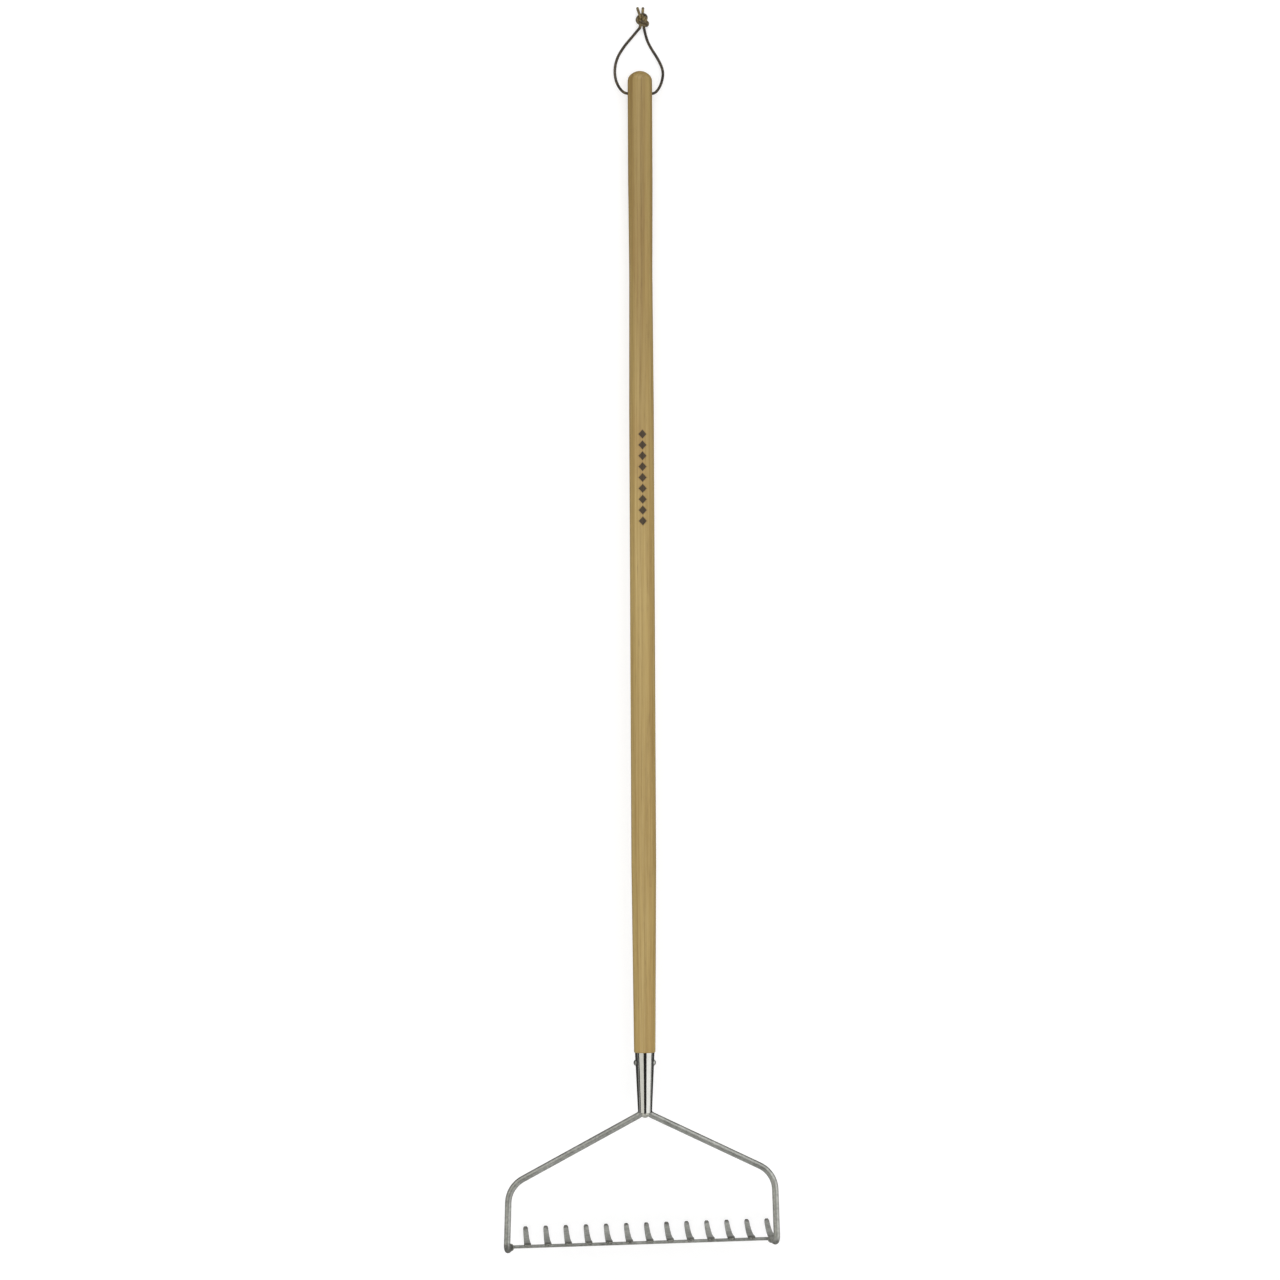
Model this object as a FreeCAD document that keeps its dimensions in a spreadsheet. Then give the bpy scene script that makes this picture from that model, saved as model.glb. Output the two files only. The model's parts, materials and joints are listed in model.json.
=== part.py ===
"""Bow-head garden rake with an ash handle, a stainless head and a leather hanging loop.

The rake lies on a floor as it would on a lawn: tine tips and the far end of the handle touch
the ground. Row frame: +Y runs from the head to the end of the handle, +X along the bar, +Z up,
origin on the floor under the middle of the rake.

Every rigid piece is drawn in the tool frame first: Y is the axis of the handle, with the bar at
Y = 0, X runs along the bar, and the tines point to -Z. One placement then tips the tool frame
onto the floor. The lace is drawn in the row frame, because it lies on the floor.
"""
import FreeCAD, Part
import math
import os
import Sketcher
from FreeCAD import Vector

# Driving dimensions, millimetres and degrees: alias, value, what it is
DIMENSIONS = [
    ("handle_radius", 15.5, "main stretch of the handle"),
    ("waist_radius", 14.6, "slim place below the end of the handle"),
    ("end_radius", 15.4, "swell at the end of the handle"),
    ("end_dome", 12.5, "height of the domed end of the handle"),
    ("end_edge", 10.0, "rounding at the edge of the dome"),
    ("shoulder_radius", 13.4, "wood just above the socket"),
    ("shoulder_ease", 0.8, "wood turned back at its edge on the socket"),
    ("shoulder_ease_length", 1.2, "length of that turned back edge"),
    ("handle_end", 1469.0, "end of the handle, from the bar"),
    ("hole_place", 1440.3, "lace hole, from the bar"),
    ("hole_radius", 2.5, "lace hole"),
    ("waist_place", 1215.0, "slimmest place, from the bar"),
    ("swell_start", 1330.0, "start of the swell, from the bar"),
    ("grip_start", 470.0, "start of the round main stretch"),
    ("grip_end", 1040.0, "end of the round main stretch"),
    ("tenon_length", 50.0, "wood inside the socket"),
    ("socket_throat", 164.0, "narrow end of the socket, from the bar"),
    ("socket_length", 74.5, "length of the socket"),
    ("socket_mouth_radius", 12.15, "outside of the socket at the wood"),
    ("socket_throat_radius", 8.7, "outside of the socket at the rods"),
    ("socket_wall", 1.0, "sheet of the socket"),
    ("rivet_inset", 12.5, "rivet, from the mouth of the socket"),
    ("rivet_radius", 2.4, "shank of the rivet"),
    ("rivet_head_radius", 4.3, "head of the rivet"),
    ("rivet_head_rise", 2.4, "head above the socket"),
    ("rivet_head_sink", 1.0, "rim of the head below the socket's surface"),
    ("rod_radius", 4.0, "rods of the bow"),
    ("rod_spacing", 4.05, "rod centre from the axis, inside the socket"),
    ("rod_tail", 22.0, "rod inside the socket"),
    ("left_reach", 170.0, "left shoulder of the bow, from the axis"),
    ("left_shoulder", 74.0, "left shoulder of the bow, from the bar"),
    ("right_reach", 161.5, "right shoulder of the bow, from the axis"),
    ("right_shoulder", 88.0, "right shoulder of the bow, from the bar"),
    ("foot_splay", 2.5, "the bow's feet spread past its shoulders"),
    ("foot_inset", 5.0, "rod ends set in from the bow's feet"),
    ("foot_overrun", 2.2, "the bow's feet pass the bar"),
    ("mouth_bend", 9.0, "bend radius where a rod leaves the socket"),
    ("shoulder_bend", 34.0, "bend radius at the bow's shoulders"),
    ("foot_bend", 8.0, "bend radius at the bow's feet"),
    ("bar_top", 22.0, "top edge of the bar below the handle's axis"),
    ("bar_depth", 12.0, "depth of the bar"),
    ("bar_thickness", 3.0, "thickness of the bar"),
    ("head_roll", 1.2, "bar out of square with the handle"),
    ("tine_count", 13, "tines"),
    ("tine_pitch", 25.5, "tine to tine"),
    ("first_tine", -146.0, "first tine, from the axis"),
    ("tine_drop", 73.0, "tine from the bar's top edge to its tip"),
    ("tine_lean", 14.0, "tip of a tine set toward the handle"),
    ("tine_thickness", 3.0, "thickness of a tine"),
    ("tine_width", 8.6, "width of a tine at the bar"),
    ("tine_tip_width", 6.2, "width of a tine where its oval tip starts"),
    ("tine_point_length", 6.4, "length of a tine's oval tip"),
    ("strip_edge", 0.5, "edge rounding of the bar and the tines"),
    ("bead_radius", 1.4, "weld beads of the tines"),
    ("bead_inset", 0.8, "weld bead stops short of a tine's side"),
    ("arm_weld_reach", 0.8, "weld past the surface of a rod at its foot"),
    ("socket_weld_radius", 6.4, "weld pool in the throat of the socket"),
    ("lace_radius", 1.9, "leather lace"),
]

# The lace from one side of the knot to the other, through the hole.
# x and y are offsets from the hole's centre, z is the height above the floor.
LACE_ROUTE = [
    (1.6, 85.5, 3.8),
    (-9.0, 73.0, 2.4),
    (-20.0, 60.0, 2.0),
    (-28.3, 46.0, 2.2),
    (-31.5, 31.0, 5.2),
    (-30.0, 15.5, 11.0),
    (-23.0, 3.0, 15.4),
    (-15.5, -0.3, 16.2),
    (0.0, 0.2, 16.5),
    (15.5, -0.3, 16.2),
    (21.6, 3.0, 15.4),
    (27.8, 14.0, 11.0),
    (30.7, 30.0, 5.2),
    (24.0, 45.5, 2.2),
    (14.6, 59.5, 2.0),
    (8.6, 72.0, 2.4),
    (5.8, 85.5, 3.8),
]

# The knot's outline in plan: offsets from the hole's centre of the ends of its thick part
KNOT_ENDS = [(1.2, 97.0), (5.6, 90.0)]
KNOT_RADIUS = 5.0
KNOT_HEIGHT = 5.1
# Tails of the lace beyond the knot: start and tip, height over the floor at each
TAILS = [
    ((1.2, 98.5, 4.6), (-2.4, 109.7, 2.0)),
    ((1.6, 98.5, 4.6), (4.5, 109.7, 2.0)),
]

BEND_SHARE = 0.45  # share of the shorter run beside a corner that a neat bend takes
BEYOND = 400.0  # reach of the blocks that cut pieces, past everything on the rake
ROD_SPARE = 6.0  # rod past the bar's top edge before its foot is cut flat
TRIM_MARGIN = 5.0  # reach of the trimming outline past a tine

doc = FreeCAD.newDocument("garden_rake")
sheet = doc.addObject("Spreadsheet::Sheet", "Dimensions")


def fill_sheet():
    """One row per driving dimension: name, value under its alias, meaning."""
    for number, (alias, value, meaning) in enumerate(DIMENSIONS, start=1):
        sheet.set("A%d" % number, alias)
        sheet.set("B%d" % number, str(value))
        sheet.setAlias("B%d" % number, alias)
        sheet.set("C%d" % number, meaning)
    doc.recompute()


fill_sheet()


def dim(alias):
    """A driving dimension as a plain number."""
    return float(getattr(sheet, alias))


# ---------------------------------------------------------------- how the rake lies


def tine_bend():
    """Radius of a tine's outer face below the bar, and the angle it turns through, radians."""
    drop = dim("tine_drop") - dim("bar_depth")
    lean = dim("tine_lean")
    return (drop**2 + lean**2) / (2 * lean), 2 * math.atan2(lean, drop)


def lying_placement():
    """Placement that rests the tine tips and the handle's domed end on the floor."""
    roll = math.radians(dim("head_roll"))
    last_tine = dim("first_tine") + (dim("tine_count") - 1) * dim("tine_pitch")
    tip_y = last_tine * math.sin(roll) + dim("bar_thickness") / 2 + dim("tine_lean")
    tip_z = -dim("bar_top") - dim("tine_drop")
    dome_y = dim("handle_end") - dim("end_dome")
    tilt = math.atan2(-tip_z - dim("end_radius"), dome_y - tip_y)
    lift = tip_y * math.sin(tilt) - tip_z * math.cos(tilt)
    foot_y = -dim("foot_overrun") - dim("rod_radius")
    middle = (foot_y + dim("handle_end")) / 2 * math.cos(tilt)
    turn = FreeCAD.Rotation(Vector(1, 0, 0), -math.degrees(tilt))
    return FreeCAD.Placement(Vector(0, -middle, lift), turn)


LIE = lying_placement()
HOLE = LIE.multVec(Vector(0, dim("hole_place"), 0))

# ---------------------------------------------------------------- helpers


def origin_plane(body, role):
    """The body's own origin plane with that role."""
    for feature in body.Origin.OriginFeatures:
        if feature.Role == role:
            return feature
    raise RuntimeError("no plane " + role)


def new_body(name):
    """An empty body with that name and label."""
    body = doc.addObject("PartDesign::Body", name)
    body.Label = name
    return body


def new_sketch(body, role):
    """A sketch on one of the body's origin planes."""
    sketch = body.newObject("Sketcher::SketchObject", body.Name + "_sketch")
    sketch.AttachmentSupport = [(origin_plane(body, role), "")]
    sketch.MapMode = "FlatFace"
    return sketch


def outline(sketch, points):
    """Closed outline of straight lines through the points."""
    for start, end in zip(points, points[1:] + points[:1]):
        sketch.addGeometry(Part.LineSegment(Vector(*start, 0), Vector(*end, 0)), False)


def revolve(body, sketch):
    """Turn the sketch about its vertical axis."""
    turned = body.newObject("PartDesign::Revolution", body.Name + "_turned")
    turned.Profile = sketch
    turned.ReferenceAxis = (sketch, ["V_Axis"])
    turned.Angle = 360
    sketch.Visibility = False
    body.Tip = turned
    return turned


def cross_hole(body, place, radius_alias):
    """Round hole along X through the body at that place on the handle's axis."""
    sketch = new_sketch(body, "YZ_Plane")
    sketch.addGeometry(
        Part.Circle(Vector(place, 0, 0), Vector(0, 0, 1), dim(radius_alias)), False
    )
    sketch.addConstraint(Sketcher.Constraint("Radius", 0, dim(radius_alias)))
    sketch.renameConstraint(0, "hole_size")
    sketch.setExpression("Constraints.hole_size", "Dimensions." + radius_alias)
    hole = body.newObject("PartDesign::Pocket", body.Name + "_hole")
    hole.Profile = sketch
    hole.Type = "ThroughAll"
    hole.Midplane = True
    body.Tip = hole
    return hole


def round_edges(body, chosen):
    """Round the chosen edges of the body's present shape by the strip's edge radius."""
    doc.recompute()
    base = body.Tip
    names = [
        "Edge%d" % number
        for number, edge in enumerate(base.Shape.Edges, start=1)
        if chosen(edge)
    ]
    rounded = body.newObject("PartDesign::Fillet", body.Name + "_edges")
    rounded.Base = (base, names)
    rounded.Radius = dim("strip_edge")
    rounded.setExpression("Radius", "Dimensions.strip_edge")
    body.Tip = rounded


def feature(name, shape, placement=LIE):
    """A named piece from a finished shape."""
    piece = doc.addObject("Part::Feature", name)
    piece.Label = name
    piece.Shape = shape
    piece.Placement = placement
    return piece


def rounded_path(points, radii):
    """Straight runs through the points, joined at each corner by a tangent arc."""
    edges = []
    start = points[0]
    for before, corner, after, radius in zip(points, points[1:], points[2:], radii):
        to_before = (before - corner).normalize()
        to_after = (after - corner).normalize()
        half_turn = (math.pi - to_before.getAngle(to_after)) / 2
        tangent = radius * math.tan(half_turn)
        arc_start = corner + to_before * tangent
        arc_end = corner + to_after * tangent
        inward = (to_before + to_after).normalize()
        arc_middle = corner + inward * (radius / math.cos(half_turn) - radius)
        edges.append(Part.LineSegment(start, arc_start).toShape())
        edges.append(Part.Arc(arc_start, arc_middle, arc_end).toShape())
        start = arc_end
    edges.append(Part.LineSegment(start, points[-1]).toShape())
    return Part.Wire(edges)


def tube_along(wire, radius):
    """Round solid of that radius swept along the wire."""
    first = wire.OrderedEdges[0]
    start = first.valueAt(first.FirstParameter)
    along = first.tangentAt(first.FirstParameter)
    section = Part.Wire([Part.Circle(start, along, radius).toShape()])
    return wire.makePipeShell([section], True, True)


def neat_radii(points):
    """Bend radius at each corner, from the shorter run beside it and the angle it turns."""
    radii = []
    for before, corner, after in zip(points, points[1:], points[2:]):
        turn = math.pi - (before - corner).getAngle(after - corner)
        shorter = min((before - corner).Length, (after - corner).Length)
        radii.append(BEND_SHARE * shorter / math.tan(turn / 2))
    return radii


def block(low, high):
    """Box between two opposite corners."""
    size = high - low
    return Part.makeBox(size.x, size.y, size.z, low)


# ---------------------------------------------------------------- handle and socket


def socket_radius(place):
    """Outside radius of the socket's cone at that place on the axis."""
    share = (place - dim("socket_throat")) / dim("socket_length")
    return dim("socket_throat_radius") + share * (
        dim("socket_mouth_radius") - dim("socket_throat_radius")
    )


def make_handle():
    """Ash handle: tenon, shoulder, long taper, round grip, waist, swell, domed end."""
    mouth = dim("socket_throat") + dim("socket_length")
    tenon_end = mouth - dim("tenon_length")
    wall = dim("socket_wall")
    body = new_body("handle")
    sketch = new_sketch(body, "XY_Plane")
    dome_base = dim("handle_end") - dim("end_dome")
    side = [
        (0, dim("handle_end")),
        (0, tenon_end),
        (socket_radius(tenon_end) - wall, tenon_end),
        (socket_radius(mouth) - wall, mouth),
        (dim("shoulder_radius") - dim("shoulder_ease"), mouth),
        (dim("shoulder_radius"), mouth + dim("shoulder_ease_length")),
        (dim("handle_radius"), dim("grip_start")),
        (dim("handle_radius"), dim("grip_end")),
        (dim("waist_radius"), dim("waist_place")),
        (dim("end_radius"), dim("swell_start")),
        (dim("end_radius"), dome_base),
    ]
    for start, end in zip(side, side[1:]):
        sketch.addGeometry(Part.LineSegment(Vector(*start, 0), Vector(*end, 0)), False)
    for arc in dome_arcs(dome_base):
        sketch.addGeometry(arc, False)
    revolve(body, sketch)
    cross_hole(body, dim("hole_place"), "hole_radius")
    cross_hole(body, mouth - dim("rivet_inset"), "rivet_radius")
    body.Placement = LIE
    return body


def dome_arcs(base):
    """Edge arc and crown arc of the handle's end, tangent to the side and to each other."""
    radius = dim("end_radius")
    height = dim("end_dome")
    edge = dim("end_edge")
    crown = ((radius - edge) ** 2 + height**2 - edge**2) / (2 * (height - edge))
    meet = math.atan2(crown - height, radius - edge)

    def on_edge(angle):
        return Vector(radius - edge + edge * math.cos(angle), base + edge * math.sin(angle), 0)

    def on_crown(angle):
        return Vector(crown * math.cos(angle), base + height - crown + crown * math.sin(angle), 0)

    top = math.pi / 2
    return [
        Part.Arc(on_edge(0), on_edge(meet / 2), on_edge(meet)),
        Part.Arc(on_crown(meet), on_crown((meet + top) / 2), on_crown(top)),
    ]


def rivet_place():
    """Middle of the rivet, on the handle's axis."""
    return Vector(0, dim("socket_throat") + dim("socket_length") - dim("rivet_inset"), 0)


def rivet_shank():
    """Shank of the rivet, from one side of the socket to the other."""
    reach = socket_radius(rivet_place().y)
    start = rivet_place() - Vector(reach, 0, 0)
    return Part.makeCylinder(dim("rivet_radius"), 2 * reach, start, Vector(1, 0, 0))


def socket_cone(inset):
    """Solid cone as long as the socket, its side set in from the socket's outside."""
    return Part.makeCone(
        dim("socket_throat_radius") - inset,
        dim("socket_mouth_radius") - inset,
        dim("socket_length"),
        Vector(0, dim("socket_throat"), 0),
        Vector(0, 1, 0),
    )


def make_socket(rods):
    """Conical sheet socket, notched at its throat where the rods come out."""
    shape = socket_cone(0).cut(socket_cone(dim("socket_wall")))
    hole = Part.makeCylinder(
        dim("rivet_radius"), 2 * BEYOND, rivet_place() - Vector(BEYOND, 0, 0), Vector(1, 0, 0)
    )
    shape = shape.cut(hole)
    for rod in rods:
        shape = shape.cut(rod)
    return feature("socket", largest_solid(shape))


def largest_solid(shape):
    """The biggest solid of a cut, without its slivers."""
    return max(shape.Solids, key=lambda solid: solid.Volume)


def make_rivet(socket_shape):
    """Rivet through socket and tenon, with a domed head seated on each side."""
    head = dim("rivet_head_radius")
    rise = dim("rivet_head_rise") + dim("rivet_head_sink")
    dome = (head**2 + rise**2) / (2 * rise)
    tip = socket_radius(rivet_place().y) + dim("rivet_head_rise")
    shape = rivet_shank()
    for side in (-1, 1):
        outward = Vector(side, 0, 0)
        ball = Part.makeSphere(dome, rivet_place() + outward * (tip - dome))
        collar = Part.makeCylinder(head, rise, rivet_place() + outward * (tip - rise), outward)
        shape = shape.fuse(ball.common(collar))
    return feature("socket_rivet", largest_solid(shape.cut(socket_shape).removeSplitter()))


# ---------------------------------------------------------------- bow


def bow_path(side):
    """Centreline of one rod: socket, shoulder, foot, end on the bar. side is -1 left, +1 right."""
    name = "left" if side < 0 else "right"
    roll = math.tan(math.radians(dim("head_roll")))
    reach = dim(name + "_reach")
    shoulder = dim(name + "_shoulder")
    slope = (dim("socket_throat") - shoulder) / (reach - dim("rod_spacing"))
    foot_x = side * (reach + dim("foot_splay"))
    end_x = foot_x - side * dim("foot_inset")
    points = [
        Vector(side * dim("rod_spacing"), dim("socket_throat") + dim("rod_tail"), 0),
        Vector(side * dim("rod_spacing"), dim("socket_throat") - 2 * slope, 0),
        Vector(side * reach, shoulder, 0),
        Vector(foot_x, end_x * roll - dim("foot_overrun"), 0),
        Vector(end_x, end_x * roll, -dim("bar_top")),
    ]
    return points


def bow_rod(side):
    """One rod of the bow, its lower end cut flat on the bar's top edge."""
    points = bow_path(side)
    past_end = points[-1] + (points[-1] - points[-2]).normalize() * ROD_SPARE
    radii = [dim("mouth_bend"), dim("shoulder_bend"), dim("foot_bend")]
    rod = tube_along(rounded_path(points[:-1] + [past_end], radii), dim("rod_radius"))
    below = block(Vector(-BEYOND, -BEYOND, -BEYOND), Vector(BEYOND, BEYOND, -dim("bar_top")))
    return largest_solid(rod.cut(below))


def make_bar():
    """Flat bar on edge, carrying the tines on the face toward the handle."""
    left = bow_path(-1)[-1].x - dim("rod_radius")
    right = bow_path(1)[-1].x + dim("rod_radius")
    half = dim("bar_thickness") / 2
    body = new_body("head_bar")
    sketch = new_sketch(body, "XY_Plane")
    outline(sketch, [(left, -half), (right, -half), (right, half), (left, half)])
    pad = body.newObject("PartDesign::Pad", "head_bar_pad")
    pad.Profile = sketch
    pad.Length = dim("bar_depth")
    pad.setExpression("Length", "Dimensions.bar_depth")
    body.Tip = pad
    round_edges(body, lambda edge: edge.BoundBox.XLength > dim("tine_pitch"))
    drop = FreeCAD.Placement(Vector(0, 0, -dim("bar_top") - dim("bar_depth")), head_turn())
    body.Placement = LIE.multiply(drop)
    return body


def head_turn():
    """The bar sits a little out of square on the handle."""
    return FreeCAD.Rotation(Vector(0, 0, 1), dim("head_roll"))


def tine_place(number):
    """Placement of a tine in the tool frame; number counts from 1 at the left."""
    x = dim("first_tine") + (number - 1) * dim("tine_pitch")
    place = FreeCAD.Placement(Vector(), head_turn())
    return place.multiply(FreeCAD.Placement(Vector(x, 0, 0), FreeCAD.Rotation()))


def make_tine(number):
    """Flat tine: straight along the bar, then arched toward the handle, its tip rounded."""
    name = "tine_%02d" % number
    outer, turn = tine_bend()
    inner = outer - dim("tine_thickness")
    face = dim("bar_thickness") / 2
    top = -dim("bar_top")
    below_bar = top - dim("bar_depth")
    centre = Vector(face + outer, below_bar, 0)

    def on_arc(radius, angle):
        return centre + Vector(-radius * math.cos(angle), -radius * math.sin(angle), 0)

    body = new_body(name)
    side_view = new_sketch(body, "YZ_Plane")
    for radius in (inner, outer):
        arc = Part.Arc(on_arc(radius, 0), on_arc(radius, turn / 2), on_arc(radius, turn))
        side_view.addGeometry(arc, False)
        upper = Vector(centre.x - radius, top, 0)
        side_view.addGeometry(Part.LineSegment(upper, on_arc(radius, 0)), False)
    upper_ends = [Vector(centre.x - radius, top, 0) for radius in (inner, outer)]
    side_view.addGeometry(Part.LineSegment(*upper_ends), False)
    side_view.addGeometry(Part.LineSegment(on_arc(inner, turn), on_arc(outer, turn)), False)
    pad = body.newObject("PartDesign::Pad", name + "_pad")
    pad.Profile = side_view
    pad.Midplane = True
    pad.Length = dim("tine_width")
    pad.setExpression("Length", "Dimensions.tine_width")
    trim = body.newObject("PartDesign::Pocket", name + "_trim")
    trim.Profile = tine_trim_sketch(body)
    trim.Type = "ThroughAll"
    trim.Midplane = True
    body.Tip = trim
    round_edges(body, lambda edge: edge.BoundBox.ZLength > 2 * dim("strip_edge"))
    body.Placement = LIE.multiply(tine_place(number))
    return body


def tine_trim_sketch(body):
    """What is cut away on both sides and round the oval tip, seen from the front."""
    sketch = new_sketch(body, "XZ_Plane")
    top = -dim("bar_top")
    tip = top - dim("tine_drop")
    oval_start = tip + dim("tine_point_length")
    tip_half = dim("tine_tip_width") / 2
    half = dim("tine_width") / 2
    middle = Vector(0, oval_start, 0)
    oval = Part.Ellipse(Vector(0, tip, 0), Vector(tip_half, oval_start, 0), middle)
    sketch.addGeometry(Part.ArcOfEllipse(oval, -math.pi / 2, math.pi / 2), False)
    outer = half + TRIM_MARGIN
    low = tip - TRIM_MARGIN
    corners = [
        (tip_half, oval_start),
        (half, top),
        (outer, top),
        (outer, low),
        (-outer, low),
        (-outer, top),
        (-half, top),
        (-tip_half, oval_start),
    ]
    for start, end in zip(corners, corners[1:]):
        sketch.addGeometry(Part.LineSegment(Vector(*start, 0), Vector(*end, 0)), False)
    return sketch


# ---------------------------------------------------------------- welds


def make_socket_weld(neighbours):
    """Weld pool that closes the socket's throat between the rods."""
    throat = Vector(0, dim("socket_throat"), 0)
    outside = block(Vector(-BEYOND, -BEYOND, -BEYOND), Vector(BEYOND, throat.y, BEYOND))
    shape = Part.makeSphere(dim("socket_weld_radius"), throat).common(outside)
    for neighbour in neighbours:
        shape = shape.cut(neighbour)
    return feature("socket_weld", largest_solid(shape))


def make_arm_weld(side, neighbours):
    """Weld round the end of a rod, on the bar, ground flush with the bar's back."""
    name = "arm_weld_left" if side < 0 else "arm_weld_right"
    end = bow_path(side)[-1]
    shape = Part.makeSphere(dim("rod_radius") + dim("arm_weld_reach"), end)
    back = -dim("bar_thickness") / 2
    behind = block(Vector(-BEYOND, -BEYOND, -BEYOND), Vector(BEYOND, back, end.z))
    behind.rotate(Vector(), Vector(0, 0, 1), dim("head_roll"))
    shape = shape.cut(behind)
    for neighbour in neighbours:
        shape = shape.cut(neighbour)
    return feature(name, largest_solid(shape))


def make_tine_welds(rods):
    """One short bead along the top of each tine where it meets the bar, but not under a rod."""
    beads = []
    half = dim("tine_width") / 2 - dim("bead_inset")
    top = -dim("bar_top")
    above = block(Vector(-half, -BEYOND, top), Vector(half, BEYOND, BEYOND))
    seam = Vector(-half, dim("bar_thickness") / 2, top)
    for number in range(1, int(dim("tine_count")) + 1):
        round_bar = Part.makeCylinder(dim("bead_radius"), 2 * half, seam, Vector(1, 0, 0))
        bead = round_bar.common(above)
        bead.Placement = tine_place(number).multiply(bead.Placement)
        if all(bead.distToShape(rod)[0] > dim("strip_edge") for rod in rods):
            beads.append(bead)
    return feature("tine_welds", Part.makeCompound(beads))


# ---------------------------------------------------------------- lace


def make_lace():
    """Leather lace through the hole, both strands lying on the floor up to the knot."""
    points = [Vector(HOLE.x + x, HOLE.y + y, z) for x, y, z in LACE_ROUTE]
    radii = neat_radii(points)
    wire = rounded_path(points, radii)
    lace = tube_along(wire, dim("lace_radius"))
    for place, radius in enumerate(radii, start=1):
        print("lace bend %2d radius %.1f mm" % (place, radius))
    print("lace length %.1f mm" % wire.Length)
    section = math.pi * dim("lace_radius") ** 2
    print("lace volume over section x length %.4f" % (lace.Volume / (section * wire.Length)))
    return feature("hanging_lace", lace, FreeCAD.Placement())


def make_knot(lace_shape):
    """Overhand knot drawn in both strands, with the two cut tails."""
    ends = [Vector(HOLE.x + x, HOLE.y + y, KNOT_HEIGHT) for x, y in KNOT_ENDS]
    along = ends[1] - ends[0]
    shape = Part.makeCylinder(KNOT_RADIUS, along.Length, ends[0], along)
    for end in ends:
        shape = shape.fuse(Part.makeSphere(KNOT_RADIUS, end))
    for start, tip in TAILS:
        start_point = Vector(HOLE.x + start[0], HOLE.y + start[1], start[2])
        tip_point = Vector(HOLE.x + tip[0], HOLE.y + tip[1], tip[2])
        run = tip_point - start_point
        shape = shape.fuse(Part.makeCylinder(dim("lace_radius"), run.Length, start_point, run))
    knot = largest_solid(shape.removeSplitter().cut(lace_shape))
    return feature("lace_knot", knot, FreeCAD.Placement())


# ---------------------------------------------------------------- build


def lying_back(shape):
    """A copy of a placed shape, back in the tool frame."""
    copy = shape.copy()
    copy.Placement = LIE.inverse().multiply(copy.Placement)
    return copy


def build():
    """Every piece, each after the neighbours that shape it."""
    rods = {side: bow_rod(side) for side in (-1, 1)}
    pieces = [
        make_handle(),
        feature("bow_arm_left", rods[-1]),
        feature("bow_arm_right", rods[1]),
        make_bar(),
    ]
    socket = make_socket(rods.values())
    doc.recompute()
    socket_shape = lying_back(socket.Shape)
    bar_shape = lying_back(pieces[-1].Shape)
    pieces.append(socket)
    pieces.append(make_rivet(socket_shape))
    tines = [make_tine(number) for number in range(1, int(dim("tine_count")) + 1)]
    doc.recompute()
    pieces.extend(tines)
    pieces.append(make_socket_weld([socket_shape, rods[-1], rods[1]]))
    pieces.append(make_arm_weld(-1, [rods[-1], bar_shape, lying_back(tines[0].Shape)]))
    beads = make_tine_welds(rods.values())
    beads_shape = lying_back(beads.Shape)
    pieces.append(
        make_arm_weld(1, [rods[1], bar_shape, lying_back(tines[-1].Shape), beads_shape])
    )
    pieces.append(beads)
    lace = make_lace()
    pieces.append(lace)
    pieces.append(make_knot(lace.Shape))
    doc.recompute()
    return pieces


def check(pieces):
    """Stop on any object that failed to build."""
    for item in doc.Objects:
        if "Invalid" in item.State or "Error" in item.State:
            raise RuntimeError("%s is %s" % (item.Label, item.State))
    for piece in pieces:
        if piece.Shape.isNull() or not piece.Shape.isValid() or not piece.Shape.Solids:
            raise RuntimeError("%s has no valid solid" % piece.Label)


def write(pieces):
    """One STEP file per piece."""
    os.makedirs("parts", exist_ok=True)
    for piece in pieces:
        piece.Shape.exportStep("parts/%s.step" % piece.Label)
        solids = piece.Shape.Solids
        print("%-16s solids %2d volume %9.1f" % (piece.Label, len(solids), piece.Shape.Volume))
    tilt = -math.degrees(LIE.Rotation.Angle)
    print("tilt %.4f degrees, origin %.3f %.3f %.3f" % (tilt, *LIE.Base))
    print("hole centre %.4f %.4f %.4f" % tuple(HOLE))


pieces = build()
check(pieces)
write(pieces)
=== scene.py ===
"""Looks of a bow-head garden rake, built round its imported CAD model.

Everything is in metres in the model's own frame: the rake lies on the floor, +Y runs from the
head to the end of the handle, +X along the bar, +Z up.
"""

import bmesh
import bpy
import json
import math
import numpy as np
from mathutils import Matrix, Vector, noise


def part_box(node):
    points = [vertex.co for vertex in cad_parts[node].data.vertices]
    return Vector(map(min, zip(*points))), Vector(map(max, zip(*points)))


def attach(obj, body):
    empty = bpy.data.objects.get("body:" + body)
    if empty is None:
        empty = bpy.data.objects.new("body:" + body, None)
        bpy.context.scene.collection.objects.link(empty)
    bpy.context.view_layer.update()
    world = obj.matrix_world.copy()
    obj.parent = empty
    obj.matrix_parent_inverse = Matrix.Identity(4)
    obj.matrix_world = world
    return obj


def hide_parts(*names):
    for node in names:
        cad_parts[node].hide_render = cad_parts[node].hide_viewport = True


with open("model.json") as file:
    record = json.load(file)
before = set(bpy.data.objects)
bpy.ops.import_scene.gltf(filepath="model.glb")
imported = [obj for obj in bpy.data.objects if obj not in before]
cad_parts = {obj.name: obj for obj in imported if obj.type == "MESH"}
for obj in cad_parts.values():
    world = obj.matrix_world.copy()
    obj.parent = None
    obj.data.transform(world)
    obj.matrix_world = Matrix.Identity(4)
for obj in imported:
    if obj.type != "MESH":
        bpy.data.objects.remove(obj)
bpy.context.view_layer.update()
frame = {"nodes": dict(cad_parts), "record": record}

MM = 0.001
NODES = frame["nodes"]

# How the handle's axis lies: the tool frame (Y along the handle, bar at Y = 0) in the row frame
TILT = math.radians(3.1691)
TOOL_ORIGIN = Vector((0, -730.281 * MM, 95.897 * MM))


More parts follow.
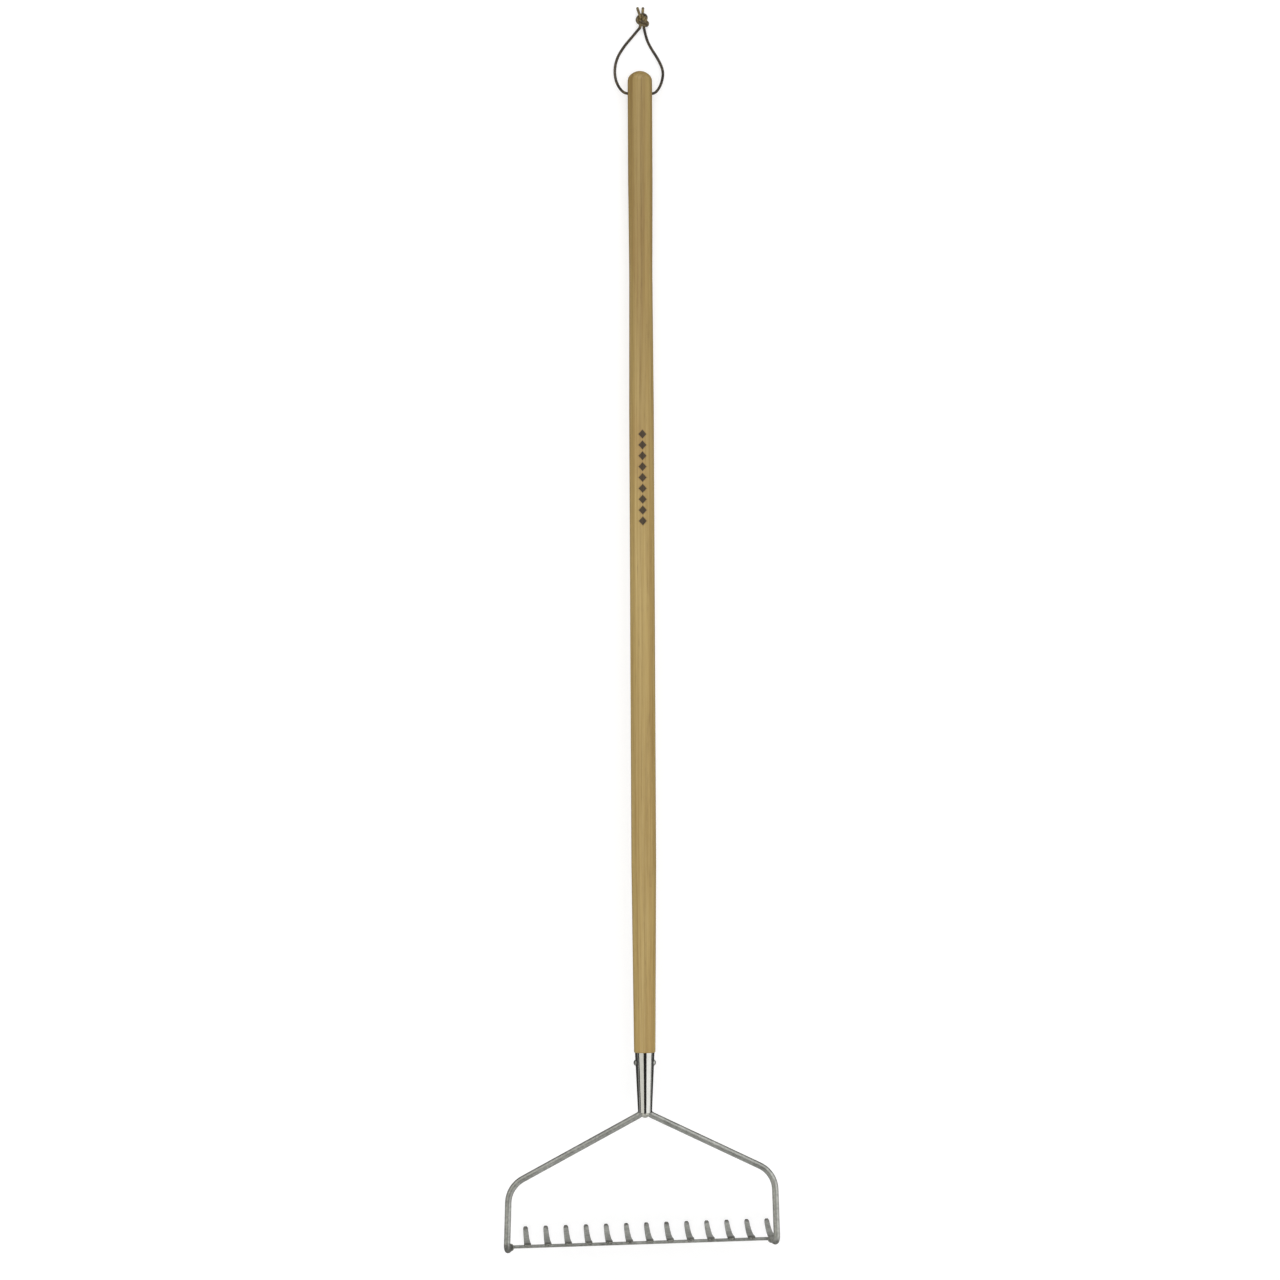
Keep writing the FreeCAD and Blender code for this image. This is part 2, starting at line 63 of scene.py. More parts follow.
# ---------------------------------------------------------------- camera

CAMERA_PLACE = (-0.312, 0.089, 5.0)
CAMERA_TURN = (-0.785, -3.571, -0.139)  # degrees about X, Y and Z
CAMERA_LENS = 111.45


def make_camera():
    """The camera, at the angle and distance of the main view."""
    data = bpy.data.cameras.new("camera")
    data.lens = CAMERA_LENS
    data.sensor_width = 36
    data.clip_end = 100
    camera = bpy.data.objects.new("camera", data)
    turn = Matrix.Identity(3)
    for axis, angle in zip("XYZ", CAMERA_TURN):
        turn = turn @ Matrix.Rotation(math.radians(angle), 3, axis)
    camera.rotation_euler = turn.to_euler()
    camera.location = CAMERA_PLACE
    bpy.context.scene.collection.objects.link(camera)
    bpy.context.scene.camera = camera


make_camera()

# ---------------------------------------------------------------- mesh helpers


def mesh_object(name, vertices, faces):
    """A new smooth-shaded mesh object in the scene."""
    mesh = bpy.data.meshes.new(name)
    mesh.from_pydata([tuple(v) for v in vertices], [], faces)
    mesh.update()
    for polygon in mesh.polygons:
        polygon.use_smooth = True
    made = bpy.data.objects.new(name, mesh)
    bpy.context.scene.collection.objects.link(made)
    return made


def spline_points(name, route, resolution):
    """Points along the smooth NURBS line whose control points are the route."""
    data = bpy.data.curves.new(name, "CURVE")
    data.dimensions = "3D"
    data.resolution_u = resolution
    spline = data.splines.new("NURBS")
    spline.points.add(len(route) - 1)
    for point, place in zip(spline.points, route):
        point.co = (*place, 1.0)
    spline.order_u = 3
    spline.use_endpoint_u = True
    line = bpy.data.objects.new(name, data)
    bpy.context.scene.collection.objects.link(line)
    bpy.context.view_layer.update()
    copy = bpy.data.meshes.new_from_object(line)
    points = [v.co.copy() for v in copy.vertices]
    bpy.data.meshes.remove(copy)
    bpy.data.objects.remove(line)
    return points


def even_points(points, spacing):
    """The same line, divided into steps of nearly that spacing."""
    lengths = [0.0]
    for a, b in zip(points, points[1:]):
        lengths.append(lengths[-1] + (b - a).length)
    steps = max(2, round(lengths[-1] / spacing))
    made, place = [], 0
    for step in range(steps + 1):
        at = lengths[-1] * step / steps
        while place < len(points) - 2 and lengths[place + 1] < at:
            place += 1
        run = lengths[place + 1] - lengths[place]
        made.append(points[place].lerp(points[place + 1], (at - lengths[place]) / run))
    return made


def frames_along(points):
    """Tangent, side and up of a rounded section at each point, with no twist between points."""
    made = []
    side = None
    for place in range(len(points)):
        before = points[max(0, place - 1)]
        after = points[min(len(points) - 1, place + 1)]
        along = (after - before).normalized()
        if side is None:
            side = along.orthogonal().normalized()
        side = (side - along * side.dot(along)).normalized()
        made.append((along, side, along.cross(side)))
    return made


CAP_ROUNDING = 0.3  # share of the radius that is rounded off at the rim of a tube's end
CAP_STEPS = 4


def tube_parts(points, radius, sides=20):
    """Vertices, faces and the numbers of the end faces of a closed tube along the points.

    radius(share, angle) is in metres, share runs from 0 to 1 along the tube.
    """
    frames = frames_along(points)
    count = len(points)
    rings = []

    def ring(place, shrink, push):
        along, side, up = frames[place]
        for number in range(sides):
            angle = 2 * math.pi * number / sides
            reach = radius(place / (count - 1), angle) * shrink
            out = side * math.cos(angle) + up * math.sin(angle)
            rings.append(points[place] + along * push + out * reach)

    rim = radius(0, 0) * CAP_ROUNDING
    turns = [math.pi / 2 * step / CAP_STEPS for step in range(1, CAP_STEPS + 1)]
    for turn in reversed(turns):
        ring(0, 1 - CAP_ROUNDING * (1 - math.cos(turn)), -rim * math.sin(turn))
    for place in range(count):
        ring(place, 1, 0)
    for turn in turns:
        ring(count - 1, 1 - CAP_ROUNDING * (1 - math.cos(turn)), rim * math.sin(turn))
    faces = []
    rows = count + 2 * CAP_STEPS
    for row in range(rows - 1):
        for number in range(sides):
            a, b = row * sides + number, row * sides + (number + 1) % sides
            faces.append((a, b, b + sides, a + sides))
    ends = []
    for row, flip in ((0, True), (rows - 1, False)):
        first = row * sides
        middle = len(rings)
        rings.append(sum(rings[first : first + sides], Vector()) / sides)
        for number in range(sides):
            a, b = first + number, first + (number + 1) % sides
            ends.append(len(faces))
            faces.append((b, a, middle) if flip else (a, b, middle))
    return rings, faces, ends


def joined_object(name, parts):
    """One mesh object from several tubes' vertices, faces and end faces, and its end faces."""
    vertices, faces, ends = [], [], []
    for part_vertices, part_faces, part_ends in parts:
        ends.append([len(faces) + number for number in part_ends])
        faces.extend([tuple(v + len(vertices) for v in face) for face in part_faces])
        vertices.extend(part_vertices)
    return mesh_object(name, vertices, faces), ends


# ---------------------------------------------------------------- lace and knot

# The lace's route, as in the CAD source: offsets from the hole's centre in x and y, height in z
HOLE = (0.0, 707.816)
LACE_ROUTE = [
    (1.6, 85.5, 3.8),
    (-9.0, 73.0, 2.4),
    (-20.0, 60.0, 2.0),
    (-28.3, 46.0, 2.2),
    (-31.5, 31.0, 5.2),
    (-30.0, 15.5, 11.0),
    (-23.0, 3.0, 15.4),
    (-15.5, -0.3, 16.2),
    (0.0, 0.2, 16.5),
    (15.5, -0.3, 16.2),
    (21.6, 3.0, 15.4),
    (27.8, 14.0, 11.0),
    (30.7, 30.0, 5.2),
    (24.0, 45.5, 2.2),
    (14.6, 59.5, 2.0),
    (8.6, 72.0, 2.4),
    (5.8, 85.5, 3.8),
]
LACE_RADIUS = 1.75 * MM
LACE_STEP = 0.45 * MM  # between the rings of the lace's tube
LACE_SEED = 3.0


def by_hole(x, y, z):
    """A point given in millimetres from the hole's centre in plan, and above the floor."""
    return Vector(((HOLE[0] + x) * MM, (HOLE[1] + y) * MM, z * MM))


def leather_radius(seed, length, base=lambda share: LACE_RADIUS):
    """Radius of a leather lace: hand-cut unevenness, and shallow creases across it."""

    def radius(share, angle):
        at = share * length / MM
        uneven = noise.noise(Vector((at * 0.12, seed, 0)))
        across, up = math.cos(angle), math.sin(angle)
        creases = noise.noise(Vector((at * 0.9, across * 0.8, up * 0.8 + seed)))
        grain = noise.noise(Vector((at * 2.4, across * 2.2, up * 2.2 + seed)))
        return base(share) * (0.985 + 0.035 * uneven + 0.02 * creases + 0.014 * grain)

    return radius


lace_line = spline_points("lace_route", [by_hole(*p) for p in LACE_ROUTE], 24)
lace_length = sum((b - a).length for a, b in zip(lace_line, lace_line[1:]))
lace_tube = tube_parts(even_points(lace_line, LACE_STEP), leather_radius(LACE_SEED, lace_length))
lace, _ = joined_object("lace", [lace_tube])

# The knot starts as a loose overhand knot, in millimetres from its middle, and is drawn tight.
# Its three crossings are, in turn along the strands: under, over, under, over, under, over.
LOOSE_KNOT = [
    (0.0, -14.0, 0.0),
    (0.0, -8.0, 0.0),
    (0.5, -3.0, -1.2),
    (1.0, 1.0, 1.5),
    (0.0, 5.5, 0.5),
    (-3.0, 8.0, -1.6),
    (-7.0, 5.0, 0.0),
    (-7.5, 0.0, 0.5),
    (-4.0, -4.0, 1.5),
    (0.5, -5.0, 2.2),
    (4.5, -3.0, 0.5),
    (5.0, 1.0, -1.2),
    (1.5, 2.0, -1.9),
    (-2.0, 3.5, 0.0),
    (-3.5, 8.0, 2.0),
    (-3.5, 13.0, 0.5),
    (-3.0, 18.0, 0.0),
]
KNOT_MIDDLE = (4.4, 94.6, 5.0)  # from the hole's centre in plan, height above the floor
KNOT_GOAL = (4.0, 94.0)  # where the tight knot lies
KNOT_TURN = 0.4  # radians in plan
KNOT_SPREAD = 1.7  # how much larger the loose knot is
STRAND_SHIFT = 2.0  # each strand from the pair's middle, millimetres
STRAND_POINTS = 72
STRAND_LENGTH = 48.0  # what each strand is pulled toward, millimetres; the knot locks before that
PULL_ROUNDS = 300
PULL_REPEATS = 4
STIFFNESS = 0.18  # how strongly a strand straightens itself
DRIFT = 0.2  # how strongly the knot moves to its goal
PUSH = 0.9  # share of a strand's stretch, or of two strands' overlap, that one pass takes away
NEAR = 1.15  # points don't press on their own strand within this many strand diameters
TIGHTENING = 0.75  # share of the rounds over which the strands are shortened
BODY_START = 0.15  # the knot's body, as shares of a strand
BODY_END = 0.8
KNOT_RADIUS = 1.7  # radius of a strand in the knot, millimetres
HELD = 3  # points at a strand's start that stay in line with the lace
LEAD = 2  # millimetres of a strand inside the lace's end
LINE_POINTS = 400  # points along the loose knot's line
LINE_TRIM = 60  # of those, left off at either end
EASE_ROUNDS = 3
FINE_POINTS = 500  # points along a tight strand's smooth line
KNOT_STEP = 0.4 * MM  # between the rings of a strand's tube
KNOT_SIDES = 24
KNOT_SEEDS = (11.0, 18.0)
KNOT_GRAIN_LENGTH = 0.07
OVERLAP = 0.1 * MM  # the knot's strands cover the lace's ends by this much
SQUEEZE_SHARE = 0.16  # of a strand's length, over which it gets thinner
ENTRY_SKIP = 6  # points near a strand's start that a smooth bend takes the place of
TIPS = [(-2.1, 109.7, 2.0), (4.9, 109.7, 2.0)]


def smooth_through(points, count):
    """count points on the smooth line through the given points."""
    points = np.vstack([2 * points[0] - points[1], points, 2 * points[-1] - points[-2]])
    runs = len(points) - 3
    made = []
    for number in range(count):
        share = number / (count - 1) * runs
        run = min(int(share), runs - 1)
        t = share - run
        a, b, c, d = points[run : run + 4]
        square = 2 * a - 5 * b + 4 * c - d
        cube = 3 * b - a - 3 * c + d
        made.append(0.5 * (2 * b + (c - a) * t + square * t**2 + cube * t**3))
    return np.array(made)


def evenly(points, count):
    """The line divided into equal steps."""
    steps = np.linalg.norm(np.diff(points, axis=0), axis=1)
    reached = np.concatenate([[0], np.cumsum(steps)])
    wanted = np.linspace(0, reached[-1], count)
    return np.stack([np.interp(wanted, reached, points[:, axis]) for axis in range(3)], 1)


def loose_strands():
    """Both loose strands, from inside the lace's ends to their tips, and how each one enters."""
    line = smooth_through(np.array(LOOSE_KNOT), LINE_POINTS)
    along = np.gradient(line, axis=0)
    along[:, 2] = 0
    along /= np.linalg.norm(along, axis=1)[:, None]
    side = np.stack([along[:, 1], -along[:, 0], np.zeros(len(line))], 1)
    cosine, sine = math.cos(KNOT_TURN), math.sin(KNOT_TURN)
    turn = np.array([[cosine, -sine, 0], [sine, cosine, 0], [0, 0, 1]])
    strands, entries = [], []
    ends = [(LACE_ROUTE[0], LACE_ROUTE[1]), (LACE_ROUTE[-1], LACE_ROUTE[-2])]
    for (end, before), tip, sign in zip(ends, TIPS, (-1, 1)):
        body = (line * KNOT_SPREAD + side * sign * STRAND_SHIFT)[LINE_TRIM:-LINE_TRIM]
        body = body @ turn.T + KNOT_MIDDLE
        end = np.array(end)
        into = (end - before) / np.linalg.norm(end - before)
        entries.append((end - into * LEAD, into))
        lead = [end - into * LEAD, end, end + into * LEAD]
        strands.append(evenly(np.vstack([lead, body, [tip]]), STRAND_POINTS))
    return np.vstack(strands), entries


def tight_strands():
    """The knot's two strands, drawn tight until they press on each other, in millimetres."""
    points, entries = loose_strands()
    count = STRAND_POINTS
    number = np.arange(2 * count)
    strand = number // count
    within = number % count
    held = (within < HELD) | (within == count - 1)
    free = np.where(held, 0.0, 1.0)[:, None]
    bell = np.sin(np.pi * within / (count - 1))[:, None] ** 2 * free
    body = (within > BODY_START * count) & (within < BODY_END * count)
    steps = np.linalg.norm(np.diff(points, axis=0), axis=1)
    start = [steps[:count - 1].sum(), steps[count:].sum()]
    apart = 2 * KNOT_RADIUS
    places = points.copy()
    for turn in range(PULL_ROUNDS):
        share = min(1.0, turn / (PULL_ROUNDS * TIGHTENING))
        rest = [(length * (1 - share) + STRAND_LENGTH * share) / (count - 1) for length in start]
        for which, (entry, into) in enumerate(entries):
            for step in range(HELD):
                places[which * count + step] = entry + into * rest[which] * step
        points[held] = places[held]
        gap = max(3, int(apart * NEAR / rest[0]))
        others = (strand[:, None] != strand[None]) | (abs(number[:, None] - number[None]) > gap)
        for _ in range(PULL_REPEATS):
            for which in (0, 1):
                for parity in (0, 1):
                    a = np.arange(which * count + parity, (which + 1) * count - 1, 2)
                    run = points[a + 1] - points[a]
                    length = np.linalg.norm(run, axis=1)[:, None]
                    weight = np.maximum(free[a] + free[a + 1], 1)
                    fix = (length - rest[which]) / length / weight * run * PUSH
                    points[a] += fix * free[a]
                    points[a + 1] -= fix * free[a + 1]
            between = points[None] - points[:, None]
            distance = np.linalg.norm(between, axis=2) + 1e-9
            press = np.where((distance < apart) & others, apart - distance, 0)
            touching = np.maximum(1, (press > 0).sum(1))[:, None]
            away = (between / distance[:, :, None] * press[:, :, None]).sum(1)
            points -= away / touching * PUSH * free
        for which in (0, 1):
            inner = slice(which * count + 1, (which + 1) * count - 1)
            line = points[which * count : (which + 1) * count]
            straighter = (line[:-2] + line[2:]) / 2 - line[1:-1]
            points[inner] += straighter * STIFFNESS * free[inner]
        points[:, :2] += bell * DRIFT * (np.array(KNOT_GOAL) - points[body].mean(0)[:2])
        on_floor = np.maximum(points[:, 2], LACE_RADIUS / MM)
        points[:, 2] = np.where(free[:, 0] > 0, on_floor, points[:, 2])
    points[held] = places[held]
    return points.reshape(2, count, 3)


def eased(line, rounds):
    """The line with small kinks smoothed out, its ends kept."""
    line = line.copy()
    for _ in range(rounds):
        line[1:-1] += ((line[:-2] + line[2:]) / 2 - line[1:-1]) * 0.5
    return line


def squeezed(share):
    """Radius of a strand: just over the lace's end where it starts, thinner inside the knot."""
    t = min(1.0, share / SQUEEZE_SHARE)
    start = LACE_RADIUS + OVERLAP
    return start + (KNOT_RADIUS * MM - start) * t * t * (3 - 2 * t)


def make_knot():
    """Doubled overhand knot with two cut tails."""
    parts = []
    for which, line in enumerate(tight_strands()):
        line = eased(line, EASE_ROUNDS)
        line = smooth_through(np.vstack([line[:2], line[ENTRY_SKIP:]]), FINE_POINTS)
        points = even_points([by_hole(*p) for p in line], KNOT_STEP)
        radius = leather_radius(KNOT_SEEDS[which], KNOT_GRAIN_LENGTH, squeezed)
        parts.append(tube_parts(points, radius, KNOT_SIDES))
    return joined_object("knot", parts)


knot, knot_ends = make_knot()

# ---------------------------------------------------------------- welds

WELD_VOXEL = 0.28 * MM
RIPPLE_PITCH = 1.5  # millimetres between the ripples of a weld
RIPPLE_HEIGHT = 0.16 * MM
WELD_ROUGHNESS = 0.12 * MM
ARM_WELD_RADIUS = 4.8  # millimetres
WELD_SMOOTHING = 3  # rounds
RIPPLE_CREST = 0.85  # share of a ripple's pitch where it is highest


def ripple(along):
    """Height from 0 to 1 of a bead's overlapping puddles at a distance along it, in millimetres."""
    share = along / RIPPLE_PITCH % 1.0
    if share < RIPPLE_CREST:
        return share * (2 - share)
    return (1 - share) / (1 - RIPPLE_CREST) * RIPPLE_CREST * (2 - RIPPLE_CREST)


def welded_copy(name, node_name, travel, finish):
    """Finely divided copy of a CAD weld with ripples; travel gives the way along the bead in mm."""
    mesh = NODES[node_name].data.copy()
    mesh.name = name
    mesh.materials.clear()
    weld = bpy.data.objects.new(name, mesh)
    bpy.context.scene.collection.objects.link(weld)
    remesh = weld.modifiers.new("remesh", "REMESH")
    remesh.mode = "VOXEL"
    remesh.voxel_size = WELD_VOXEL
    bpy.context.view_layer.update()
    remeshed = weld.evaluated_get(bpy.context.evaluated_depsgraph_get())
    fine = bpy.data.meshes.new_from_object(remeshed)
    weld.modifiers.clear()
    weld.data = fine
    form = bmesh.new()
    form.from_mesh(fine)
    every_way = {"use_axis_x": True, "use_axis_y": True, "use_axis_z": True}
    for _ in range(WELD_SMOOTHING):
        bmesh.ops.smooth_vert(form, verts=form.verts, factor=0.5, **every_way)
    form.normal_update()
    moves = []
    for vertex in form.verts:
        at = vertex.co / MM
        push = RIPPLE_HEIGHT * ripple(travel(at) + 0.35 * noise.noise(at * 0.8))
        push += WELD_ROUGHNESS * noise.noise(at * 1.1)
        moves.append(vertex.normal * push)
    for vertex, move in zip(form.verts, moves):
        vertex.co += move
    for face in form.faces:
        face.smooth = True
    form.to_mesh(fine)
    form.free()
    fine.name = name
    weld.data.materials.append(FINISHES[finish])
    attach(weld, "rake")
    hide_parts(node_name)


def round_middle(node_name):
    """Travel in plan round the middle of a weld, on a circle of its mean radius."""
    low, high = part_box(node_name)
    middle = (Vector(low) + Vector(high)) / 2 / MM

    def travel(at):
        return math.atan2(at.y - middle.y, at.x - middle.x) * ARM_WELD_RADIUS

    return travel


def make_welds():
    """A detailed piece for each of the CAD model's four weld nodes."""
    # the beads at the tines and the arms' feet wear weld metal darkened with painted shade
    welded_copy("tine_weld_beads", "tine_welds", lambda at: at.x + at.y * 0.4, "weld_metal_painted_shade")
    for side in ("left", "right"):
        node_name = "arm_weld_" + side
        welded_copy("arm_weld_bead_" + side, node_name, round_middle(node_name), "weld_metal_painted_shade")
    welded_copy("socket_weld_pool", "socket_weld", lambda at: at.y * 1.3 + at.z * 0.5, "weld_metal")


# ---------------------------------------------------------------- materials


def display(red, green, blue):
    """Linear colour for a display colour given as 0-255."""

    def linear(value):
        value /= 255
        return value / 12.92 if value <= 0.04045 else ((value + 0.055) / 1.055) ** 2.4

    return (linear(red), linear(green), linear(blue), 1.0)


class Finish:
    """A material's node tree, with short calls for the nodes that the finishes here share."""

    def __init__(self, name):
        self.material = bpy.data.materials.new(name)
        self.material.use_nodes = True
        self.tree = self.material.node_tree
        self.tree.nodes.clear()
        self.shader = self.node("ShaderNodeBsdfPrincipled")
        output = self.node("ShaderNodeOutputMaterial")
        self.tree.links.new(self.shader.outputs[0], output.inputs["Surface"])
        self.place = self.node("ShaderNodeTexCoord").outputs["Object"]

    def node(self, kind, **settings):
        """A new node with the given settings."""
        made = self.tree.nodes.new(kind)
        for key, value in settings.items():
            setattr(made, key, value)
        return made

    def feed(self, socket, value):
        """Link another node's socket to this one, or set its own value."""
        if isinstance(value, bpy.types.NodeSocket):
            self.tree.links.new(value, socket)
        else:
            socket.default_value = value

    def set(self, **values):
        """Shader sockets by name, with _ for a space."""
        for key, value in values.items():
            self.feed(self.shader.inputs[key.replace("_", " ")], value)

    def stretched(self, place, scale):
        """The place multiplied axis by axis, which makes a texture longer along one of them."""
        made = self.node("ShaderNodeMapping", vector_type="POINT")
        self.feed(made.inputs["Vector"], place)
        made.inputs["Scale"].default_value = scale
        return made.outputs[0]

    def along_tool(self):
        """Coordinates of the tool frame, in metres: Y runs along the handle."""
        made = self.node("ShaderNodeMapping", vector_type="TEXTURE")
        self.feed(made.inputs["Vector"], self.place)
        made.inputs["Location"].default_value = TOOL_ORIGIN
        made.inputs["Rotation"].default_value = (-TILT, 0, 0)
        return made.outputs[0]

    def noise(self, place, scale, detail=3.0, roughness=0.55, distortion=0.0):
        """Soft noise around 0.5."""
        made = self.node("ShaderNodeTexNoise")
        self.feed(made.inputs["Vector"], place)
        made.inputs["Scale"].default_value = scale
        made.inputs["Detail"].default_value = detail
        made.inputs["Roughness"].default_value = roughness
        made.inputs["Distortion"].default_value = distortion
        return made.outputs[0]

    def cells(self, place, scale):
        """Distance to the nearest of a field of scattered points."""
        made = self.node("ShaderNodeTexVoronoi", feature="F1")
        self.feed(made.inputs["Vector"], place)
        made.inputs["Scale"].default_value = scale
        return made.outputs["Distance"]

    def math(self, operation, first, second=0.0, third=0.0, clamp=False):
        """One step of arithmetic on numbers or sockets."""
        made = self.node("ShaderNodeMath", operation=operation, use_clamp=clamp)
        for socket, value in zip(made.inputs, (first, second, third)):
            self.feed(socket, value)
        return made.outputs[0]

    def axes(self, place):
        """X, Y and Z of a place."""
        made = self.node("ShaderNodeSeparateXYZ")
        self.feed(made.inputs[0], place)
        return made.outputs

    def step(self, value, low, high, out_low=0.0, out_high=1.0):
        """A smooth step from out_low, where value is low, to out_high, where it is high."""
        made = self.node("ShaderNodeMapRange", interpolation_type="SMOOTHSTEP")
        made.inputs["From Min"].default_value = low
        made.inputs["From Max"].default_value = high
        made.inputs["To Min"].default_value = out_low
        made.inputs["To Max"].default_value = out_high
        self.feed(made.inputs["Value"], value)
        return made.outputs[0]

    def ramp(self, value, stops):
        """A colour that changes with value, through the stops."""
        made = self.node("ShaderNodeValToRGB")
        self.feed(made.inputs[0], value)
        elements = made.color_ramp.elements
        while len(elements) < len(stops):
            elements.new(0.5)
        for element, (at, colour) in zip(elements, stops):
            element.position = at
            element.color = colour
        return made.outputs[0]

    def mix(self, share, first, second, blend="MIX"):
        """The first colour with a share of the second blended over it."""
        made = self.node("ShaderNodeMix", data_type="RGBA", blend_type=blend)
        for number, value in ((0, share), (6, first), (7, second)):
            self.feed(made.inputs[number], value)
        return made.outputs[2]

    def bump(self, height, distance, strength=1.0, under=None):
        """Normals of a surface with that height, over the normals of an earlier bump."""
        made = self.node("ShaderNodeBump")
        made.inputs["Strength"].default_value = strength
        made.inputs["Distance"].default_value = distance
        self.feed(made.inputs["Height"], height)
        if under is not None:
            self.feed(made.inputs["Normal"], under)
        return made.outputs[0]


RING_WIDTH = 0.0031  # one year's growth, metres
RING_WAVER = 0.016
PITH_LEFT = 0.030  # the tree's middle from the handle's axis, metres
PITH_BELOW = 0.072
HANDLED_START = 0.75  # along the tool, metres
HANDLED_FULL = 1.4
LOZENGE_START = 0.894  # along the tool, metres
LOZENGE_PITCH = 0.0136
LOZENGE_COUNT = 9
LOZENGE_HALF = 0.0052


def ash_wood():
    """Oiled ash: growth rings, pores, fibre, and a row of burnt lozenges."""
    finish = Finish("ash_wood")
    tool = finish.along_tool()
    x, y, z = finish.axes(tool)
    # growth rings round a pith beside the handle and below it, wavering along the grain
    waver = finish.noise(finish.stretched(tool, (9, 1.4, 9)), 1.0, 3.0, 0.5)
    waver = finish.math("MULTIPLY_ADD", waver, RING_WAVER, -RING_WAVER / 2)
    lean_x = finish.math("MULTIPLY_ADD", y, 0.010, PITH_LEFT)
    lean_z = finish.math("MULTIPLY_ADD", y, -0.006, PITH_BELOW)
    from_x = finish.math("ADD", x, lean_x)
    from_z = finish.math("ADD", z, lean_z)
    squares = finish.math("MULTIPLY_ADD", from_x, from_x, finish.math("MULTIPLY", from_z, from_z))
    reach = finish.math("ADD", finish.math("SQRT", squares), waver)
    ring = finish.math("FRACT", finish.math("MULTIPLY", reach, 1 / RING_WIDTH))
    shares = ((0.0, 1.0), (0.3, 0.25), (0.75, 0.0), (1.0, 0.5))
    early = finish.ramp(ring, [(at, (share, share, share, 1)) for at, share in shares])
    # long pores, most of them in the early wood, and fine fibre
    pores = finish.noise(finish.stretched(tool, (1900, 42, 1900)), 1.0, 2.0, 0.6)
    pores = finish.step(pores, 0.56, 0.72)
    pores = finish.math("MULTIPLY", pores, finish.math("MULTIPLY_ADD", early, 0.75, 0.25))
    fibre = finish.noise(finish.stretched(tool, (900, 9, 900)), 1.0, 4.0, 0.62)
    streak = finish.noise(finish.stretched(tool, (170, 2.2, 170)), 1.0, 3.0, 0.55)
    cloud = finish.noise(finish.stretched(tool, (30, 5, 30)), 1.0, 2.0, 0.5)
    colour = finish.ramp(
        streak,
        [
            (0.28, display(148, 119, 60)),
            (0.45, display(165, 138, 77)),
            (0.6, display(175, 149, 87)),
            (0.78, display(188, 163, 102)),
        ],
    )
    colour = finish.mix(finish.math("MULTIPLY", early, 0.42), colour, display(136, 106, 52))
    colour = finish.mix(finish.step(fibre, 0.35, 0.72, 0.0, 0.3), colour, display(198, 176, 120))
    colour = finish.mix(finish.step(cloud, 0.5, 0.8, 0.0, 0.35), colour, display(158, 120, 62))
    colour = finish.mix(finish.math("MULTIPLY", pores, 0.55), colour, display(98, 70, 34))
    # the far end is darker from hands and wax
    handled = finish.step(y, HANDLED_START, HANDLED_FULL, 0.0, 0.62)
    colour = finish.mix(handled, colour, (0.60, 0.56, 0.43, 1), "MULTIPLY")
    # a row of plain lozenges burnt into the upper side of the grip
    along = finish.math("MULTIPLY_ADD", y, 1 / LOZENGE_PITCH, -LOZENGE_START / LOZENGE_PITCH)
    beside = finish.math("DIVIDE", finish.math("ABSOLUTE", x), LOZENGE_HALF)
    span = finish.math("ABSOLUTE", finish.math("SUBTRACT", finish.math("FRACT", along), 0.5))
    lozenge = finish.math("MULTIPLY_ADD", span, 2.3, beside)
    lozenge = finish.math("MULTIPLY_ADD", fibre, 0.25, lozenge)
    inside = finish.math("GREATER_THAN", z, 0.0)
    inside = finish.math("MULTIPLY", inside, finish.math("GREATER_THAN", along, 0.0))
    inside = finish.math("MULTIPLY", inside, finish.math("LESS_THAN", along, LOZENGE_COUNT))
    burnt = finish.math("MULTIPLY", inside, finish.step(lozenge, 1.02, 1.14, 1.0, 0.0))
    scorched = finish.math("MULTIPLY", inside, finish.step(lozenge, 1.0, 1.5, 0.45, 0.0))
    colour = finish.mix(scorched, colour, display(122, 84, 42))
    depth = finish.math("MULTIPLY", burnt, finish.step(fibre, 0.3, 0.7, 0.97, 0.78))
    colour = finish.mix(depth, colour, display(34, 25, 18))
    finish.set(Base_Color=colour)
    rough = finish.math("MULTIPLY_ADD", fibre, 0.14, 0.40)
    finish.set(Roughness=finish.math("MULTIPLY_ADD", pores, 0.2, rough, clamp=True))
    finish.set(Specular_IOR_Level=0.42, Coat_Weight=0.08, Coat_Roughness=0.35)
    height = finish.math("MULTIPLY_ADD", pores, -0.8, finish.math("MULTIPLY", fibre, 0.35))
    height = finish.math("MULTIPLY_ADD", burnt, -0.9, height)
    finish.set(Normal=finish.bump(height, 0.00025, 0.55))
    return finish.material


